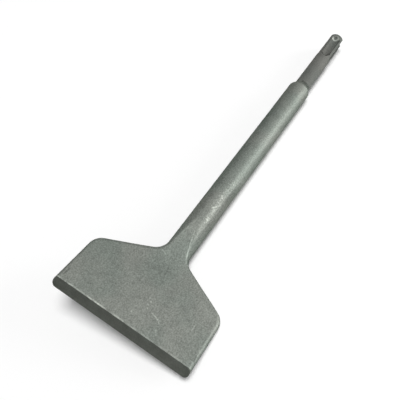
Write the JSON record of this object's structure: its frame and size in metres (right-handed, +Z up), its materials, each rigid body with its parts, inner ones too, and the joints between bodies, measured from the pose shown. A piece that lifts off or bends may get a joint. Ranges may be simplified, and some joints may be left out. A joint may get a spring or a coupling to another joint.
{
  "type": "tile chisel",
  "caption": "Cranked tile chisel with a wide flat blade, single ground edge, round shaft and slotted 10 mm hammer shank, lying as it rests.",
  "frame": {"origin": "on the ground, under the middle of the bounding box of the tool as it lies", "axes": "+X along the bar from the shank to the cutting edge, +Z up; the tool is rolled about the bar until one shoulder of the blade touches the ground"},
  "size_m": [0.25, 0.074, 0.0257],
  "materials": {
    "blasted_steel": "forged steel, shot blasted to an even matt grey, with a darker ground face at the cutting edge"
  },
  "bodies": {
    "root": {"tile_chisel": "blasted_steel"}
  },
  "joints": []
}
